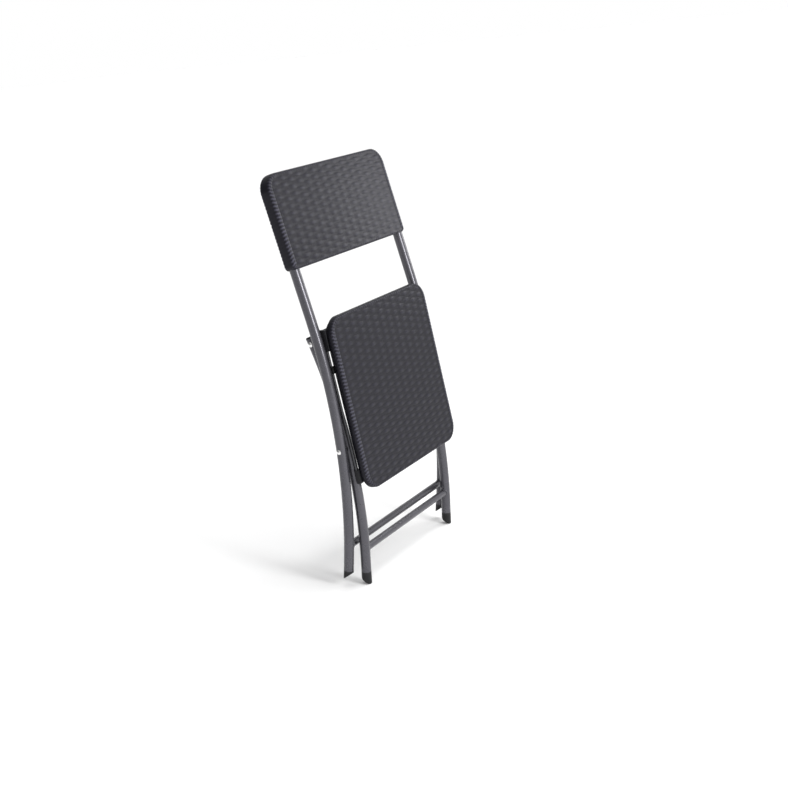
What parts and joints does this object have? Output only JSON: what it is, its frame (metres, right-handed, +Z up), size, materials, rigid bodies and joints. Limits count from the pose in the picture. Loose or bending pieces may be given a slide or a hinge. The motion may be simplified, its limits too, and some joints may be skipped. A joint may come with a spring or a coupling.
{
  "type": "folding chair",
  "caption": "Folding chair with woven-look moulded seat and back panels on a crossed steel-tube frame, stored folded flat.",
  "frame": {"origin": "bottom centre of the folded chair's bounding box, at the floor between its feet", "axes": "+Z up the folded, upright chair; -Y the way the chair faces; +X the sitter's left"},
  "size_m": [0.429, 0.1749, 0.8992],
  "materials": {
    "frame_paint": "satin grey powder coat",
    "woven_panel": "moulded weave",
    "black_plastic": "matte",
    "black_metal": "black powder coat",
    "bright_rivet": "bright",
    "rod_steel": "dark drawn",
    "screw_steel": "zinc"
  },
  "bodies": {
    "front_frame": {"left_post": "frame_paint", "right_post": "frame_paint", "front_stretcher": "frame_paint", "back_panel": "woven_panel", "back_panel_screws": "screw_steel", "left_front_foot": "black_plastic", "right_front_foot": "black_plastic"},
    "rear_frame": {"left_rear_tube": "frame_paint", "right_rear_tube": "frame_paint", "rear_stretcher": "frame_paint", "left_rear_foot": "black_plastic", "right_rear_foot": "black_plastic", "left_top_cap": "black_plastic", "right_top_cap": "black_plastic", "left_cross_rivet": "bright_rivet", "right_cross_rivet": "bright_rivet", "left_pivot_washer": "black_plastic", "right_pivot_washer": "black_plastic", "left_top_rivet": "bright_rivet", "right_top_rivet": "bright_rivet"},
    "seat_sliders": {"left_slider": "black_plastic", "right_slider": "black_plastic", "left_slider_clip": "bright_rivet", "right_slider_clip": "bright_rivet"},
    "seat": {"seat_panel": "woven_panel", "left_slide_rod": "rod_steel", "right_slide_rod": "rod_steel", "left_front_bracket": "black_metal", "right_front_bracket": "black_metal", "left_rear_bracket": "black_metal", "right_rear_bracket": "black_metal", "left_ear_rivet": "bright_rivet", "right_ear_rivet": "bright_rivet", "bracket_screws": "screw_steel"}
  },
  "joints": [
    {"name": "rear_legs_fold", "type": "hinge", "parent": "front_frame", "child": "rear_frame", "pos_m": [0, 0.034, 0.3152], "axis": [1, 0, 0], "range_deg": [0, 70]},
    {"name": "seat_swing", "type": "hinge", "parent": "front_frame", "child": "seat_sliders", "pos_m": [0, 0.0186, 0.4863], "axis": [1, 0, 0], "range_deg": [0, 108.76]},
    {"name": "seat_slide", "type": "slide", "parent": "seat_sliders", "child": "seat", "axis": [0, -0.1438, 0.9896], "range_m": [0, 0.19951]}
  ],
  "couplings": [
    {"joint": "seat_swing", "follows": "rear_legs_fold", "ratio": 1.5536},
    {"joint": "seat_slide", "follows": "rear_legs_fold", "m_per_rad": 0.1633}
  ]
}
